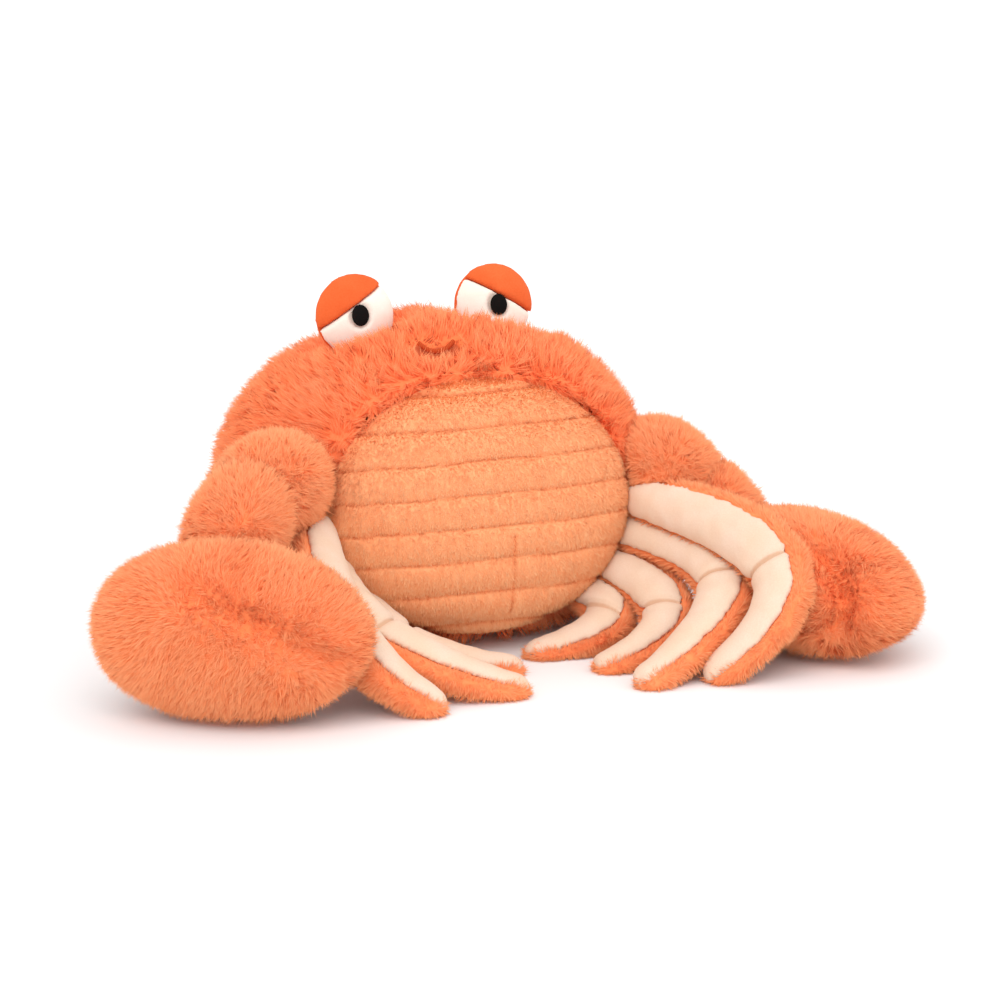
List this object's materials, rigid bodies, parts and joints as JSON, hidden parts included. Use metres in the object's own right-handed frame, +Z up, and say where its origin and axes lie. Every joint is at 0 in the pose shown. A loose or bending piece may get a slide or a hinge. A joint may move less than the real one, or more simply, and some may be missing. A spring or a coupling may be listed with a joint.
{
  "type": "plush crab",
  "caption": "Sitting soft toy crab in orange fur with a ribbed belly, sleepy eyes, mitten claws and curved pale-lined legs.",
  "frame": {"origin": "middle of the whole toy's plan, on the surface it sits on", "axes": "+Z up, the face and belly look towards -Y, +X to the viewer's right along the span of the claws"},
  "size_m": [0.3886, 0.2692, 0.1676],
  "materials": {
    "fur": "matte",
    "belly_plush": "matte",
    "suede": "matte",
    "lining": "matte",
    "eye_cloth": "matte",
    "pupil_thread": "matte",
    "smile_thread": "matte"
  },
  "bodies": {
    "root": {"body": "fur", "belly_panel": "belly_plush", "smile": "smile_thread", "eye_back_left": "suede", "eye_white_left": "eye_cloth", "eyelid_left": "suede", "pupil_left": "pupil_thread", "upper_arm_left": "fur", "forearm_left": "fur", "claw_left": "fur", "leg_left_1": "fur", "leg_lining_left_1": "lining", "leg_left_2": "fur", "leg_lining_left_2": "lining", "leg_left_3": "fur", "leg_lining_left_3": "lining", "leg_left_4": "fur", "leg_lining_left_4": "lining", "eye_back_right": "suede", "eye_white_right": "eye_cloth", "eyelid_right": "suede", "pupil_right": "pupil_thread", "upper_arm_right": "fur", "forearm_right": "fur", "claw_right": "fur", "leg_right_1": "fur", "leg_lining_right_1": "lining", "leg_right_2": "fur", "leg_lining_right_2": "lining", "leg_right_3": "fur", "leg_lining_right_3": "lining", "leg_right_4": "fur", "leg_lining_right_4": "lining"}
  },
  "joints": []
}
